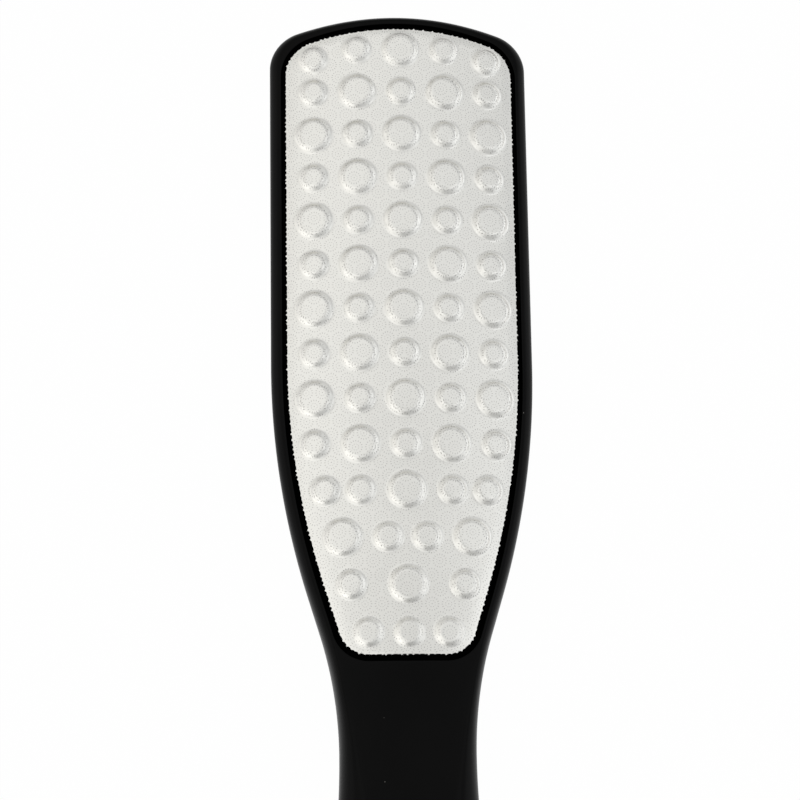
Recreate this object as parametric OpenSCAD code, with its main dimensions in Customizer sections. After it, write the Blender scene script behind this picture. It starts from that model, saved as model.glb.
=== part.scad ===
// Two-sided foot file: a black paddle of two moulded shells, with a coarse embossed
// nickel sheet in the front pocket and a smooth fine nickel sheet in the rear one. Both
// faces of the head are crowned across, and the sheets bend with them.
// The tool lies along Y with the head towards +Y and the coarse side up. The origin
// is under the middle of the tool, on the surface that its grip lies on.

/* [Whole tool] */
// Length from the tip of the head to the butt of the handle
total_l = 260; // [245:1:290]

/* [Head] */
// Width of the head where its sides begin to close in
head_w = 52.1; // [48:0.1:58]
// How much further out each side stands at the tip than there
side_lean = 0.35; // [0:0.05:1]
// Thickness of the head in its middle
head_t = 10.9; // [10:0.1:13]
// Fall of each crowned face from the middle of the head to the line of its sides
crown_fall = 3.5; // [2:0.1:3.8]
// Radius of the shallow arch across the tip
tip_arch_r = 68; // [56:1:80]
// Radius of the two corners of the tip
tip_corner_r = 8; // [4:0.5:12]
// Length of the head from the tip to where its sides begin to close in
straight_l = 74; // [60:0.5:80]
// Radius of the long curve that draws the sides in
shoulder_r = 158; // [140:2:190]
// Straight run between the shoulder curve and the neck curve
shoulder_run = 7.8; // [4:0.1:16]
// Breadth of the rounding along the edge of the head
head_round = 2; // [1:0.1:2]

/* [Handle] */
// Width of the neck at its narrowest
neck_w = 26.1; // [22:0.1:28]
// Radius of the hollow curve between head and neck
neck_r = 78; // [60:1:100]
// Width of the grip at its widest
grip_w = 33; // [31:0.5:38]
// Thickness of the grip at its thickest
grip_t = 16; // [13:0.5:20]
// Radius of the two curves that widen the neck into the grip
flare_r = 150; // [120:1:180]
// Radius of the round butt, seen from above
butt_r = 13; // [12:0.25:14]
// Thickness of the handle at the centre of the butt
butt_t = 12.8; // [11.5:0.1:14]
// Bare length of the head between the pocket and the rise of the handle
rise_gap = 3.2; // [1:0.1:6]

/* [Pockets] */
// Width of the rim beside each pocket
rim_w = 2.3; // [2.2:0.05:3.5]
// Width of the rim beside the foot of each pocket
foot_rim_w = 2.2; // [2.1:0.05:3.5]
// Width of the rim at the tip
tip_rim_w = 2.65; // [2.2:0.05:3.5]
// Length of a pocket from tip to foot
pocket_l = 130.5; // [120:0.5:134]
// Radius of the pocket's arch at the tip
pocket_arch_r = 61; // [50:1:70]
// Radius of the pocket's corners at the tip
pocket_corner_r = 7.9; // [6:0.1:12]
// Radius of the pocket's corners at the foot
pocket_foot_r = 7.1; // [4:0.1:9]
// Depth of each pocket
pocket_depth = 1; // [0.8:0.05:1.3]

/* [Abrasive sheets] */
// Thickness of the nickel
sheet_t = 0.3; // [0.2:0.05:0.4]
// Height that the flat of a sheet stands proud of the rim
sheet_proud = 0.1; // [0:0.05:0.3]
// Gap between sheet and pocket along the straight sides
side_gap = 0.95; // [0.4:0.05:1.2]
// Gap between sheet and pocket at the tip
tip_gap = 1.25; // [0.4:0.05:1.4]
// Gap between sheet and pocket at the foot
foot_gap = 1.25; // [0.4:0.05:1.6]
// Distance that the adhesive pad stays back from the edge of its sheet
pad_inset = 0.5; // [0.3:0.1:1.5]

/* [Embossed bumps] */
// Radius of a large bump at its base
large_bump_r = 4; // [3:0.1:4.2]
// Radius of the flat top of a large bump
large_flat_r = 2.6; // [1.6:0.1:2.8]
// Radius of a small bump at its base
small_bump_r = 3.2; // [2:0.1:3.4]
// Radius of the flat top of a small bump
small_flat_r = 1.7; // [0.8:0.1:1.8]
// Height of the bumps over the flat of the sheet
bump_h = 0.85; // [0.5:0.05:1.1]
// Distance between columns of bumps, measured round the crown
bump_column_pitch = 8.9; // [8.8:0.05:9.2]
// Distance between rows of bumps
bump_row_pitch = 9.18; // [8.8:0.02:9.24]
// Distance from the tip of the sheet to the first row of bumps
bump_first_row = 4.5; // [4:0.1:5.5]
// Least distance from the last row of bumps to the foot of the sheet
bump_last_row = 3.2; // [2.8:0.1:4]
// Distance that a row's outermost bumps keep from the edge of the sheet
bump_edge = 4.95; // [4.5:0.05:5.5]
// Drop of the outermost bumps of the first row, which follow the arch
bump_corner_drop = 1.9; // [1.5:0.1:3]
// Distance of the whole embossing off the centre line
bump_shift = 0.2; // [-0.5:0.1:0.5]

/* [Shell walls] */
// Wall of the hollow handle
wall = 2.2; // [1.8:0.1:2.6]
// Breadth of the rounding inside the handle where its wall is flattest
inner_round = 0.6; // [0.4:0.1:1]
// Solid length of the neck between the pocket and the hollow
neck_solid_l = 9; // [6:0.5:14]
// Thickness of the ribs
rib_t = 1.4; // [1:0.1:2]
// Distance between cross ribs
rib_pitch = 15; // [12:0.5:20]
// Radius of a locating pin
pin_r = 1.4; // [1:0.1:1.6]
// Length of a locating pin
pin_l = 2; // [1.5:0.1:2.4]
// Clearance round and under a locating pin
pin_clear = 0.1; // [0.05:0.01:0.2]
// Wall of the boss round a pin's socket
boss_wall = 1.3; // [1:0.1:1.5]

/* [Hanging hole] */
// Radius of the hanging hole
hole_r = 3; // [2:0.1:3.5]
// Wall of the sleeve round the hole inside the handle
sleeve_wall = 1.8; // [1.5:0.1:2.2]
// Width of the flat land sunk round each mouth of the hole
land_w = 1.1; // [0.8:0.1:1.5]
// Thickness of the handle between the two lands
land_t = 10.6; // [9.5:0.1:11]

/* [Hidden] */
$fn = 48;

SHELL_BLACK = "#1d1d1e";
NICKEL = "#d4d2cb";
ADHESIVE = "#161616";

// Steps of the curves, from the tip round to the butt
ARCH_STEPS = 5;
CORNER_STEPS = 7;
SIDE_STEPS = 4;
SHOULDER_STEPS = 8;
NECK_STEPS = 5;
FLARE_STEPS = 4;
GRIP_STEPS = 6;
BUTT_STEPS = 10;
EDGE_STEPS = 8;
CROWN_STEPS = 10;
FLANK_STEPS = 6;

// One overrun serves every cut
cut = 0.5;

// Share of the way to the centre line that the grip's round flank takes
DOME_SHARE = 0.94;

// Places along the tool
tip_y = total_l / 2;
taper_y = tip_y - straight_l;
lean_angle = atan(side_lean / straight_l);
curve_sum = shoulder_r + neck_r;
side_drop = (head_w - neck_w) / 2 + shoulder_r * (1 - cos(lean_angle));
shoulder_angle = atan2(curve_sum, shoulder_run)
    + asin((side_drop - curve_sum) / norm([curve_sum, shoulder_run]));
shoulder_c = [head_w / 2 - shoulder_r * cos(lean_angle), taper_y + shoulder_r * sin(lean_angle)];
neck_y = shoulder_c.y - curve_sum * sin(shoulder_angle) - shoulder_run * cos(shoulder_angle);
flare_angle = acos(1 - (grip_w - neck_w) / (4 * flare_r));
grip_y = neck_y - 2 * flare_r * sin(flare_angle);
butt_y = butt_r - tip_y;
grip_reach = grip_y - butt_y;
grip_side_r = (pow(grip_w / 2, 2) + pow(grip_reach, 2) - pow(butt_r, 2)) / (grip_w - 2 * butt_r);
butt_angle = asin(grip_reach / (grip_side_r - butt_r));
pocket_tip_y = tip_y - tip_rim_w;
pocket_foot_y = pocket_tip_y - pocket_l;
rise_y = pocket_foot_y - rise_gap;
hollow_y = pocket_foot_y - neck_solid_l;

// Heights over the parting plane, which lies halfway up the grip
parting_z = grip_t / 2;
crest_z = head_t / 2;
land_z = land_t / 2;

// The crown of the rims, the pocket's floor, the adhesive pad and the sheet are rounds
// about one axis along the tool
crown_r = (pow(head_w / 2, 2) + pow(crown_fall, 2)) / (2 * crown_fall);
axis_z = crest_z - crown_r;
floor_r = crown_r - pocket_depth;
sheet_r = crown_r + sheet_proud;
pad_r = sheet_r - sheet_t;

// Smooth step from 0 to 1 with level ends
function ease(t) = (1 - cos(180 * min(1, max(0, t)))) / 2;
function share_between(v, from, to) = min(1, max(0, (v - from) / (to - from)));

// An outline is a list of [x, y, nx, ny], where n points outwards. An arc is walked by
// the angle of n, and a hollow arc has its centre outside and a negative radius.
function arc_run(centre, r, from, to, steps, first) =
    [for (i = [first:steps])
        let (a = from + (to - from) * i / steps)
        [centre.x + r * cos(a), centre.y + r * sin(a), cos(a), sin(a)]];
function points_between(start, end, a, steps) =
    [for (i = [1:steps - 1]) concat(start + (end - start) * i / steps, [cos(a), sin(a)])];

// The sides lean out a little towards the tip. out_dir points out of the right one and up_dir
// runs along it. A side is given by its distance from the origin along out_dir.
out_dir = [cos(lean_angle), -sin(lean_angle)];
up_dir = [sin(lean_angle), cos(lean_angle)];
taper_place = [head_w / 2, taper_y];
tool_side = taper_place * out_dir;

// Arch, corner and straight side, shared by the head and its pockets: the corner
// touches the arch from inside and then the side
function corner_centre(side, tip, arch_r, corner_r) =
    let (line = out_dir * (side - corner_r), to_arch = [0, tip - arch_r] - line, up = up_dir * to_arch)
    line + up_dir * (up + sqrt(pow(up, 2) - to_arch * to_arch + pow(arch_r - corner_r, 2)));
function tip_run(side, tip, arch_r, corner_r) =
    let (c = corner_centre(side, tip, arch_r, corner_r),
         a = atan2(c.y - tip + arch_r, c.x))
    concat(arc_run([0, tip - arch_r], arch_r, 90, a, ARCH_STEPS, 0),
           arc_run(c, corner_r, a, -lean_angle, CORNER_STEPS, 1),
           points_between(c + corner_r * out_dir, taper_place - (tool_side - side) * out_dir,
                          -lean_angle, SIDE_STEPS));

// Right side from the end of the straight part down to the grip
SIDE_RUN = concat(
    arc_run(shoulder_c, shoulder_r, -lean_angle, -shoulder_angle, SHOULDER_STEPS, 0),
    arc_run([neck_w / 2 + neck_r, neck_y], -neck_r, -shoulder_angle, 0, NECK_STEPS, 0),
    arc_run([neck_w / 2 + flare_r, neck_y], -flare_r, 0, flare_angle, FLARE_STEPS, 1),
    arc_run([grip_w / 2 - flare_r, grip_y], flare_r, flare_angle, 0, FLARE_STEPS, 1));

// Right half of the whole tool, from the middle of the tip to the middle of the butt
TOOL_HALF = concat(
    tip_run(tool_side, tip_y, tip_arch_r, tip_corner_r),
    SIDE_RUN,
    arc_run([grip_w / 2 - grip_side_r, grip_y], grip_side_r, 0, -butt_angle, GRIP_STEPS, 1),
    arc_run([0, butt_y], butt_r, -butt_angle, -90, BUTT_STEPS, 1));

// Right half of a pocket, from the middle of its tip to the middle of its foot. Its side
// keeps a rim's width inside the tool's own side, and a corner circle that touches both
// the side and the foot has its centre on foot_track.
function rim_beside(y) = rim_w + (foot_rim_w - rim_w) * share_between(y, taper_y, pocket_foot_y);
function set_in(p, more) = [p.x, p.y] - (rim_beside(p.y) + more) * [p[2], p[3]];
foot_track = [for (p = SIDE_RUN) concat(set_in(p, pocket_foot_r), atan2(p[3], p[2]))];
foot_c_y = pocket_foot_y + pocket_foot_r;
foot_c = [lookup(foot_c_y, [for (q = foot_track) [q.y, q.x]]), foot_c_y];
foot_angle = lookup(foot_c_y, [for (q = foot_track) [q.y, q.z]]);
foot_side_y = foot_c.y + pocket_foot_r * sin(foot_angle) + pocket_foot_r / CORNER_STEPS;
POCKET_HALF = concat(
    tip_run(tool_side - rim_w, pocket_tip_y, pocket_arch_r, pocket_corner_r),
    [for (p = SIDE_RUN) let (q = set_in(p, 0)) if (q.y > foot_side_y) concat(q, [p[2], p[3]])],
    arc_run(foot_c, pocket_foot_r, foot_angle, -90, CORNER_STEPS, 0),
    [[0, pocket_foot_y, 0, -1]]);

// Whole loop of a half outline: down the right side and back up the left
function loop_of(half) =
    concat(half, [for (i = [len(half) - 2:-1:1]) [-half[i].x, half[i].y, -half[i][2], half[i][3]]]);
TOOL_LOOP = loop_of(TOOL_HALF);
POCKET_LOOP = loop_of(POCKET_HALF);

// Gap between a pocket's wall and its sheet: even along the straight sides, wider
// towards the tip and along the taper towards the foot
pocket_corner_y = corner_centre(tool_side - rim_w, pocket_tip_y, pocket_arch_r, pocket_corner_r).y;
function sheet_gap(y) = side_gap
    + (tip_gap - side_gap) * share_between(y, pocket_corner_y, pocket_tip_y)
    + (foot_gap - side_gap) * share_between(y, taper_y, foot_c_y);
function shrunk(run, more) = [for (p = run) [p.x, p.y] - (sheet_gap(p.y) + more) * [p[2], p[3]]];
function sheet_outline(more) = shrunk(POCKET_LOOP, more);

// Half thickness along the middle of the tool: level head, full grip, thinner butt. Beside
// the middle it falls with the crown, which fades out from the head to the grip.
function middle_t(y) = y > grip_y
    ? crest_z + (parting_z - crest_z) * ease(share_between(y, rise_y, grip_y))
    : parting_z + (butt_t / 2 - parting_z) * ease(share_between(y, grip_y, butt_y));
function half_t(x, y) = middle_t(y)
    - (crown_r - sqrt(pow(crown_r, 2) - pow(x, 2))) * (1 - ease(share_between(y, rise_y, grip_y)));

// Breadth of the rounded flank: a narrow edge on the head, nearly the whole way to the
// centre line on the grip
function centre_reach(p) = p[3] < -sin(butt_angle) ? butt_r : abs(p.x / p[2]);
function flank(p) = p.y > rise_y ? head_round
    : head_round + (DOME_SHARE * centre_reach(p) - head_round) * ease(share_between(p.y, rise_y, grip_y));

// Half of the tool over the parting plane: rings that climb the flank in equal turns, rows
// that cross the crown from the right side to the left, and level strips across the base.
// skin is the depth under the outer surface, and skirt carries the walls below the plane.
function flank_point(p, turn, skin) =
    let (breadth = max(inner_round, flank(p) - skin),
         d = skin + breadth * (1 - cos(turn)),
         x = p.x - d * p[2],
         y = p.y - d * p[3])
    [x, y, (half_t(x, y) - skin) * sin(turn)];
function strips_across(first, n) =
    let (last = n / 2 - 1)
    [for (i = [0:last])
        let (a = first + i, b = a + 1, c = first + n - i - 1, d = c + 1)
        i == 0 ? [a, b, c] : i == last ? [a, b, d] : [a, b, c, d]];
function turned_over(faces) = [for (f = faces) [for (i = [len(f) - 1:-1:0]) f[i]]];
function row_across(p, skin) = [for (j = [1:CROWN_STEPS - 1])
    let (x = p.x * (1 - 2 * j / CROWN_STEPS))
    [x, p.y, half_t(x, p.y) - skin]];
function row_index(first, n, i, j) =
    j == 0 ? first + i : j == CROWN_STEPS ? first + n - i : first + n + (i - 1) * (CROWN_STEPS - 1) + j - 1;
function crown_faces(first, n) =
    let (last = n / 2)
    [for (i = [0:last - 1]) for (j = [0:CROWN_STEPS - 1])
        let (a = row_index(first, n, i, j), b = row_index(first, n, i + 1, j),
             c = row_index(first, n, i + 1, j + 1), d = row_index(first, n, i, j + 1))
        each i == 0 ? [[first, b, c]] : i == last - 1 ? [[a, first + last, d]] : [[a, b, c], [a, c, d]]];
module half_tool(skin, skirt) {
    n = len(TOOL_LOOP);
    climb = [for (k = [0:EDGE_STEPS]) for (p = TOOL_LOOP) flank_point(p, 90 * k / EDGE_STEPS, skin)];
    base = [for (i = [0:n - 1]) [climb[i].x, climb[i].y, -skirt]];
    top = [for (i = [0:n / 2]) flank_point(TOOL_LOOP[i], 90, skin)];
    rows = [for (i = [1:n / 2 - 1]) each row_across(top[i], skin)];
    rings = EDGE_STEPS + (skirt > 0 ? 2 : 1);
    sides = [for (k = [0:rings - 2]) for (i = [0:n - 1])
        let (a = k * n + i, b = k * n + (i + 1) % n)
        each [[b, b + n, a + n], [b, a + n, a]]];
    polyhedron(concat(skirt > 0 ? base : [], climb, rows),
               concat(turned_over(strips_across(0, n)), sides, crown_faces((rings - 1) * n, n)),
               convexity = 6);
}

// Cross ribs from the hollow's end to the butt, a spine rib, and pins on every
// second cross rib
hollow_l = hollow_y - butt_y - hole_r - sleeve_wall;
rib_count = floor(hollow_l / rib_pitch);
function rib_place(i) = hollow_y - i * rib_pitch;

// The ribs and bosses are cut out of the hollow right through, from well under it
root_z = -grip_t;
root_h = 2 * grip_t;

PIN_PLACES = [for (i = [1:2:rib_count]) rib_place(i)];

module cross_ribs() {
    for (i = [1:rib_count])
        translate([-head_w / 2, rib_place(i) - rib_t / 2, root_z])
            cube([head_w, rib_t, root_h]);
}

module spine_rib() {
    translate([-rib_t / 2, butt_y, root_z])
        cube([rib_t, hollow_y - butt_y + cut, root_h]);
}

module pin_bosses() {
    for (y = PIN_PLACES)
        translate([0, y, root_z])
            cylinder(r = pin_r + pin_clear + boss_wall, h = root_h, $fn = 12);
}

module hole_sleeve() {
    translate([0, butt_y, root_z])
        cylinder(r = hole_r + sleeve_wall, h = root_h, $fn = 12);
}

// Hollow of one shell: the inside of the handle less its ribs, bosses and sleeve
module handle_hollow() {
    difference() {
        intersection() {
            half_tool(wall, cut);
            translate([-head_w / 2, -tip_y - cut, root_z])
                cube([head_w, hollow_y + tip_y + cut, root_h]);
        }
        cross_ribs();
        spine_rib();
        pin_bosses();
        hole_sleeve();
    }
}

// Round about the crown's axis, as long as the tool
module crown_round(r) {
    translate([0, tip_y, axis_z])
        rotate([90, 0, 0])
            cylinder(r = r, h = total_l, $fn = 240);
}

// Layer that bends with the crown, between two radii and inside an outline
module crown_layer(outline, inner_r, outer_r) {
    difference() {
        intersection() {
            linear_extrude(head_t)
                polygon(outline);
            crown_round(outer_r);
        }
        crown_round(inner_r);
    }
}

module pocket_cut() {
    difference() {
        linear_extrude(head_t)
            polygon([for (p = POCKET_LOOP) [p.x, p.y]]);
        crown_round(floor_r);
    }
}

module hanging_hole_cut() {
    translate([0, butt_y, -cut])
        cylinder(r = hole_r, h = grip_t);
    translate([0, butt_y, land_z])
        cylinder(r = hole_r + land_w, h = grip_t);
}

// One moulded shell over the parting plane, with its pocket, hollow and hole
module shell() {
    difference() {
        half_tool(0, 0);
        handle_hollow();
        pocket_cut();
        hanging_hole_cut();
    }
}

module pins() {
    for (y = PIN_PLACES)
        translate([0, y, -pin_l])
            cylinder(r = pin_r, h = pin_l + cut);
}

module sockets() {
    for (y = PIN_PLACES)
        translate([0, y, -cut])
            cylinder(r = pin_r + pin_clear, h = pin_l + pin_clear + cut);
}

// Embossing: the rows run from the tip to the foot, and a row has as many bumps as its
// reach allows, which is half the width of the sheet there less the margin at the edge.
// A full row stands on the column pitch, large and small by turns. A narrower one is
// spread over its reach. The outermost bumps of the first row follow the arch.
FULL_ROW_SHARES = [-2, -1, 0, 1, 2];
LEAST_REACH_SHARES = [1.8, 1.6, 1.35, 1.05, 0.7];
NARROW_ROW_SHARES = [[-1.03, -0.58, 0, 0.58, 1.03], [-0.93, -0.28, 0.28, 0.93], [-1, 0, 1], [-0.96, 0, 0.96], [0]];
NARROW_ROW_LARGE = [[2], [0, 3], [1], [], []];
sheet_tip_y = pocket_tip_y - tip_gap;
sheet_foot_y = pocket_foot_y + foot_gap;
row_count = 1 + floor((sheet_tip_y - bump_first_row - bump_last_row - sheet_foot_y) / bump_row_pitch);
edge_table = [for (p = shrunk(POCKET_HALF, 0)) [p.y, p.x]];
function row_y(row) = sheet_tip_y - bump_first_row - row * bump_row_pitch;
function corner_drop(row) = row == 0 ? bump_corner_drop : 0;
function reach(row) = lookup(row_y(row) - corner_drop(row), edge_table) - bump_edge;
function narrowness(row) = len([for (s = LEAST_REACH_SHARES) if (reach(row) < s * bump_column_pitch) s]);
function row_places(row) = let (k = narrowness(row))
    k == 0 ? FULL_ROW_SHARES * bump_column_pitch : NARROW_ROW_SHARES[k - 1] * reach(row);
function is_large(row, i) = let (k = narrowness(row))
    k > 0 ? len(search(i, NARROW_ROW_LARGE[k - 1])) > 0 : row == 0 ? i == 2 : (row + i) % 2 == 0;
BUMPS = [for (row = [0:row_count - 1]) let (places = row_places(row)) for (i = [0:len(places) - 1])
    [bump_shift + places[i],
     row_y(row) - (abs(places[i]) > bump_column_pitch ? corner_drop(row) : 0),
     is_large(row, i)]];

// Section of a bump: flat top, a flank that falls as half a cosine wave, and a toe that
// dips into the sheet, whose crown falls away beside the bump
toe_z = sheet_t / 12;
function bump_section(flat_r, base_r, low) =
    concat([[0, -low], [0, bump_h]],
           [for (i = [0:FLANK_STEPS]) [flat_r + (base_r - flat_r) * i / FLANK_STEPS,
                                       bump_h + (toe_z - bump_h) * ease(i / FLANK_STEPS)]],
           [[base_r + toe_z + low, -low]]);
module bump(large, thinner, low) {
    flat_r = large ? large_flat_r : small_flat_r;
    base_r = large ? large_bump_r : small_bump_r;
    rotate_extrude()
        polygon(bump_section(flat_r - thinner, base_r - thinner, low));
}

// The sheet is pressed flat and then bent, so a bump's place across is a length round the
// crown, and it stands square to the crown
module bumps(r, thinner, low) {
    for (b = BUMPS)
        translate([0, b.y, axis_z])
            rotate([0, b.x / sheet_r * 180 / PI, 0])
                translate([0, 0, r])
                    bump(b[2], thinner, low);
}

module smooth_sheet() {
    crown_layer(sheet_outline(0), pad_r, sheet_r);
}

// Pressed sheet: bumps stand up from the top and are hollow underneath
module embossed_sheet() {
    difference() {
        union() {
            smooth_sheet();
            bumps(sheet_r, 0, sheet_t / 2);
        }
        bumps(pad_r, sheet_t / 2, cut);
    }
}

module adhesive_pad() {
    crown_layer(sheet_outline(pad_inset), floor_r, pad_r);
}

// Front pieces stand on the parting plane, and rear pieces are turned over under it
module on_front() {
    translate([0, 0, parting_z])
        children();
}
module on_rear() {
    translate([0, 0, parting_z])
        mirror([0, 0, 1])
            children();
}

module front_shell() {
    color(SHELL_BLACK)
        on_front() {
            shell();
            pins();
        }
}

module rear_shell() {
    color(SHELL_BLACK)
        on_rear()
            difference() {
                shell();
                sockets();
            }
}

module coarse_sheet() {
    color(NICKEL)
        on_front()
            embossed_sheet();
}

module coarse_adhesive_pad() {
    color(ADHESIVE)
        on_front()
            adhesive_pad();
}

module fine_sheet() {
    color(NICKEL)
        on_rear()
            smooth_sheet();
}

module fine_adhesive_pad() {
    color(ADHESIVE)
        on_rear()
            adhesive_pad();
}

front_shell();
rear_shell();
coarse_sheet();
coarse_adhesive_pad();
fine_sheet();
fine_adhesive_pad();
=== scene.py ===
"""Two-sided foot file: two black moulded shells, an embossed coarse nickel sheet in the
front pocket and a smooth fine one in the rear pocket, each on a pad of black foam. Both
faces of the head are crowned across.

Sizes are in millimetres and become metres where a mesh is made. The tool lies along Y with
its head towards +Y. Heights are counted from the parting plane of the shells, which lies
halfway up the grip, and the rear pieces are the front ones turned over.
"""
import math

import bpy
import numpy as np
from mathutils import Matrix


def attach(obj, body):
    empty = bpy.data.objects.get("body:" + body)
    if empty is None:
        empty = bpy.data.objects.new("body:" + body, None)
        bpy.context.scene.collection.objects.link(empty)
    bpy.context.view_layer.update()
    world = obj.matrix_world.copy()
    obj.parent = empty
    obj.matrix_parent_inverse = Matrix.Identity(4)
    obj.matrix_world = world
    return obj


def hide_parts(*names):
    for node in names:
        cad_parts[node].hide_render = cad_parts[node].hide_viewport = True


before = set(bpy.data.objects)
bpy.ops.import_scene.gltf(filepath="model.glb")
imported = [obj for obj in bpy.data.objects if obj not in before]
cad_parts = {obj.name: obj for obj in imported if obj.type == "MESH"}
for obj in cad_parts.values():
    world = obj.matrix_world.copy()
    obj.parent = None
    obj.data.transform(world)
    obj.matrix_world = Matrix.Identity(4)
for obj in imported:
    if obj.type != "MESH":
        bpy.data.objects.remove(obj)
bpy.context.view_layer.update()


# Shells. The body is moulded in black ABS in two halves, front and rear, that are welded
# along the parting plane. Each has a pocket for its sheet with a small rounding at the
# lip, and the handle is pierced by a hanging hole with a sunk land round each mouth.
TOOL_L = 260.0  # from the tip of the head to the butt
HEAD_W = 52.1  # where its sides begin to close in
SIDE_LEAN = 0.35  # how much further out each side stands at the tip than there
STRAIGHT_L = 74.0  # from the tip to where the sides begin to close in
HEAD_T = 10.9  # in its middle
CROWN_FALL = 3.5  # from the middle of the head to the line of its sides
TIP_ARCH_R, TIP_CORNER_R = 68.0, 8.0
HEAD_ROUND = 2.0  # breadth of the rounding along the edge of the head
SHOULDER_R = 158.0  # the long curve that draws the sides in
SHOULDER_RUN = 7.8  # straight run between the shoulder curve and the neck curve
NECK_W, NECK_R = 26.1, 78.0  # at its narrowest, and its hollow curve
FLARE_R = 150.0  # the two curves that widen the neck into the grip
GRIP_W, GRIP_T = 33.0, 16.0  # at its widest and its thickest
DOME_SHARE = 0.94  # share of the way to the centre line that the grip's flank takes
BUTT_R, BUTT_T = 13.0, 12.8  # round butt from above, and its thickness at the centre
RISE_GAP = 3.2  # bare head between the pocket and the rise of the handle
RIM_W, FOOT_RIM_W, TIP_RIM_W = 2.3, 2.2, 2.65  # beside a pocket, beside its foot, at the tip
POCKET_L, POCKET_DEPTH = 130.5, 1.0
POCKET_ARCH_R, POCKET_CORNER_R, POCKET_FOOT_R = 61.0, 7.9, 7.1  # the last for the foot's corners
HOLE_R = 3.0  # hanging hole
LAND_W, LAND_T = 1.1, 10.6  # sunk land round its mouths, and the thickness between the two
LIP_R, SEAM_R = 0.14, 0.12  # small roundings at the lips and at the seam
RUN_STEP = 0.1  # between the points of an outline
ARC_LEAST, RUN_LEAST = 4, 2  # fewest steps of an arc and of a straight run
GRID_STEP = 0.9  # between the lines of a shell's grid
FLANK_STEPS, LEVEL_STEPS, LIP_STEPS = 18, 8, 4
FLOOR_SHARES = [0.04, 0.15, 0.4, 0.7, 1.0]  # places of the floor's rows between wall and middle
SPINE_IN = 0.6  # share of a foot corner's radius that those rows end short of the pocket's ends
QUARTER = math.pi / 2
ROUND_OFF, END_SLACK, PARALLEL = 1e-9, 1e-6, 1e-12  # tolerances of shares, ends and crossings

tip_y = TOOL_L / 2
taper_y = tip_y - STRAIGHT_L
lean = math.atan(SIDE_LEAN / STRAIGHT_L)
curve_sum = SHOULDER_R + NECK_R
side_drop = (HEAD_W - NECK_W) / 2 + SHOULDER_R * (1 - math.cos(lean))
shoulder_angle = math.atan2(curve_sum, SHOULDER_RUN) + math.asin(
    (side_drop - curve_sum) / math.hypot(curve_sum, SHOULDER_RUN))
shoulder_c = (HEAD_W / 2 - SHOULDER_R * math.cos(lean), taper_y + SHOULDER_R * math.sin(lean))
neck_y = (shoulder_c[1] - curve_sum * math.sin(shoulder_angle)
          - SHOULDER_RUN * math.cos(shoulder_angle))
flare_angle = math.acos(1 - (GRIP_W - NECK_W) / (4 * FLARE_R))
grip_y = neck_y - 2 * FLARE_R * math.sin(flare_angle)
butt_y = BUTT_R - tip_y
grip_reach = grip_y - butt_y
grip_side_r = ((GRIP_W / 2) ** 2 + grip_reach ** 2 - BUTT_R ** 2) / (GRIP_W - 2 * BUTT_R)
butt_angle = math.asin(grip_reach / (grip_side_r - BUTT_R))
pocket_tip_y = tip_y - TIP_RIM_W
pocket_foot_y = pocket_tip_y - POCKET_L
foot_c_y = pocket_foot_y + POCKET_FOOT_R
rise_y = pocket_foot_y - RISE_GAP
parting_z = GRIP_T / 2
crest_z = HEAD_T / 2
crown_r = ((HEAD_W / 2) ** 2 + CROWN_FALL ** 2) / (2 * CROWN_FALL)
axis_z = crest_z - crown_r
land_z = LAND_T / 2


def arc(centre, radius, start, end, first=1):
    """Arc walked by the angle of its normal in even steps, as rows of x, y and the normal.
    A hollow arc has its centre outside the outline and a negative radius."""
    steps = max(ARC_LEAST, math.ceil(abs(radius * (end - start)) / RUN_STEP))
    a = start + (end - start) * np.arange(first, steps + 1) / steps
    return np.stack([centre[0] + radius * np.cos(a), centre[1] + radius * np.sin(a),
                     np.cos(a), np.sin(a)], 1)


def straight(start, end, angle):
    """Points inside a straight run, all with the same normal."""
    start, end = np.array(start), np.array(end)
    steps = max(RUN_LEAST, math.ceil(np.linalg.norm(end - start) / RUN_STEP))
    t = (np.arange(1, steps) / steps)[:, None]
    normal = np.tile([math.cos(angle), math.sin(angle)], (steps - 1, 1))
    return np.hstack([start + (end - start) * t, normal])


out_dir = np.array([math.cos(lean), -math.sin(lean)])
up_dir = np.array([math.sin(lean), math.cos(lean)])
taper_place = np.array([HEAD_W / 2, taper_y])
tool_side = taper_place @ out_dir


def corner_centre(side, tip, arch_r, corner_r):
    """Centre of the circle that touches the arch from inside and the leaning side. It lies on
    the side's line set in by its radius, where that meets the arch's circle set in as well."""
    foot = out_dir * (side - corner_r)
    to_arch = np.array([0, tip - arch_r]) - foot
    up = up_dir @ to_arch
    return foot + up_dir * (up + math.sqrt(up ** 2 - to_arch @ to_arch + (arch_r - corner_r) ** 2))


def tip_run(side, tip, arch_r, corner_r):
    """Arch across the tip, its corner, and the side as far as the taper."""
    c = corner_centre(side, tip, arch_r, corner_r)
    a = math.atan2(c[1] - tip + arch_r, c[0])
    taper = taper_place - (tool_side - side) * out_dir
    return np.vstack([arc((0, tip - arch_r), arch_r, QUARTER, a, 0), arc(c, corner_r, a, -lean),
                      straight(c + corner_r * out_dir, taper, -lean)])


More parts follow.
